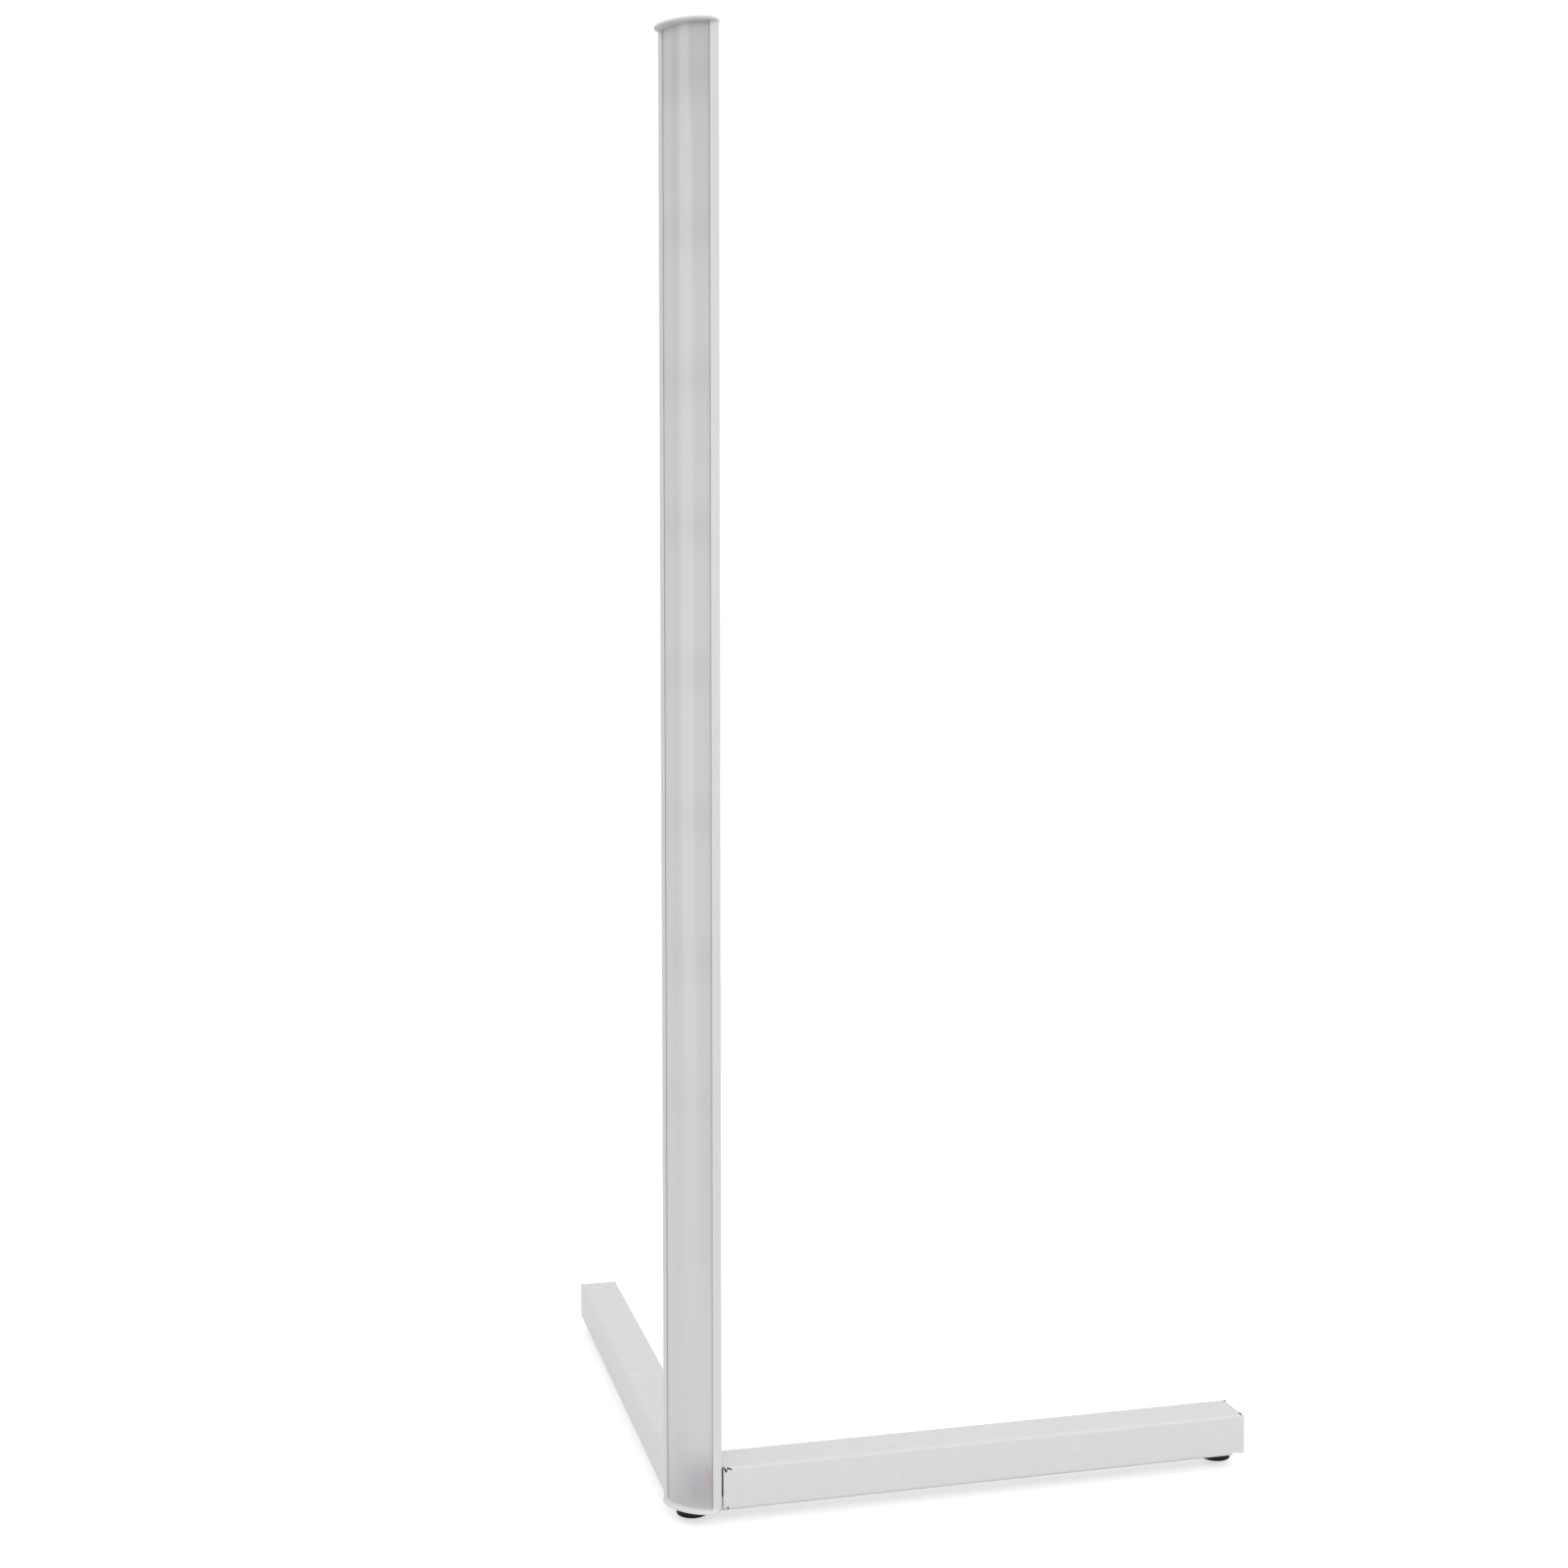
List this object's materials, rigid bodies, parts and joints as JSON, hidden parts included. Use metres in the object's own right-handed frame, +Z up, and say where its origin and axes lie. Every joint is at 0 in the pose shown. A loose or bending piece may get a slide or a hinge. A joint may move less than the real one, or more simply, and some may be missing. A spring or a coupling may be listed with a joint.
{
  "type": "corner floor lamp",
  "caption": "Corner floor lamp: quarter-round light column with a frosted front, on two folded steel legs at a right angle with screw-in levelling feet.",
  "frame": {"origin": "on the floor, at the centre of the column's foot, where the legs' centre lines cross", "axes": "+X along the right leg, +Y along the left leg, +Z up; the frosted front faces -X -Y"},
  "size_m": [0.6021, 0.6021, 1.4061],
  "materials": {
    "white_aluminium": "satin",
    "white_steel": "satin",
    "frosted_acrylic": "satin",
    "black_foot": "matte",
    "zinc_steel": "satin",
    "nickel": "satin",
    "adhesive_tape": "matte",
    "white_board": "satin",
    "led_lens": "gloss",
    "grey_clip": "matte",
    "green_board": "satin",
    "black_plastic": "satin",
    "white_plastic": "satin",
    "capacitor_can": "satin",
    "red_insulation": "satin",
    "black_insulation": "satin",
    "white_insulation": "satin"
  },
  "bodies": {
    "lamp_frame": {"column_profile": "white_aluminium", "top_cap": "white_aluminium", "bottom_cap": "white_aluminium", "right_leg": "white_steel", "left_leg": "white_steel", "diffuser": "frosted_acrylic", "top_cap_screws": "zinc_steel", "bottom_cap_screws": "zinc_steel", "right_leg_screws": "zinc_steel", "left_leg_screws": "zinc_steel", "right_nut_plate": "zinc_steel", "left_nut_plate": "zinc_steel", "right_foot_plate": "zinc_steel", "left_foot_plate": "zinc_steel", "column_foot_nut": "zinc_steel", "right_foot_nut": "zinc_steel", "left_foot_nut": "zinc_steel", "jack_nut": "nickel", "strip_tape": "adhesive_tape", "board_pad": "adhesive_tape", "led_board": "white_board", "led_packages": "led_lens", "strip_clips": "grey_clip", "control_board": "green_board", "control_chip": "black_plastic", "input_connector": "black_plastic", "dc_jack": "black_plastic", "strip_connector": "white_plastic", "capacitor": "capacitor_can", "red_lead": "red_insulation", "black_lead": "black_insulation", "strip_leads": "white_insulation"},
    "column_foot_stud": {"column_foot_stud": "zinc_steel"},
    "column_foot_pad": {"column_foot_pad": "black_foot"},
    "right_foot_stud": {"right_foot_stud": "zinc_steel"},
    "right_foot_pad": {"right_foot_pad": "black_foot"},
    "left_foot_stud": {"left_foot_stud": "zinc_steel"},
    "left_foot_pad": {"left_foot_pad": "black_foot"}
  },
  "joints": [
    {"name": "column_foot_rise", "type": "slide", "parent": "lamp_frame", "child": "column_foot_stud", "axis": [0, 0, -1], "range_m": [0, 0.00625]},
    {"name": "column_foot_turn", "type": "hinge", "parent": "column_foot_stud", "child": "column_foot_pad", "pos_m": [0, 0, 0.004], "axis": [0, 0, -1], "range_deg": [0, 1800]},
    {"name": "right_foot_rise", "type": "slide", "parent": "lamp_frame", "child": "right_foot_stud", "axis": [0, 0, -1], "range_m": [0, 0.00625]},
    {"name": "right_foot_turn", "type": "hinge", "parent": "right_foot_stud", "child": "right_foot_pad", "pos_m": [0.55075, 0, 0.004], "axis": [0, 0, -1], "range_deg": [0, 1800]},
    {"name": "left_foot_rise", "type": "slide", "parent": "lamp_frame", "child": "left_foot_stud", "axis": [0, 0, -1], "range_m": [0, 0.00625]},
    {"name": "left_foot_turn", "type": "hinge", "parent": "left_foot_stud", "child": "left_foot_pad", "pos_m": [0, 0.55075, 0.004], "axis": [0, 0, -1], "range_deg": [0, 1800]}
  ],
  "couplings": [
    {"joint": "column_foot_rise", "follows": "column_foot_turn", "m_per_rad": 0.00019894},
    {"joint": "right_foot_rise", "follows": "right_foot_turn", "m_per_rad": 0.00019894},
    {"joint": "left_foot_rise", "follows": "left_foot_turn", "m_per_rad": 0.00019894}
  ]
}
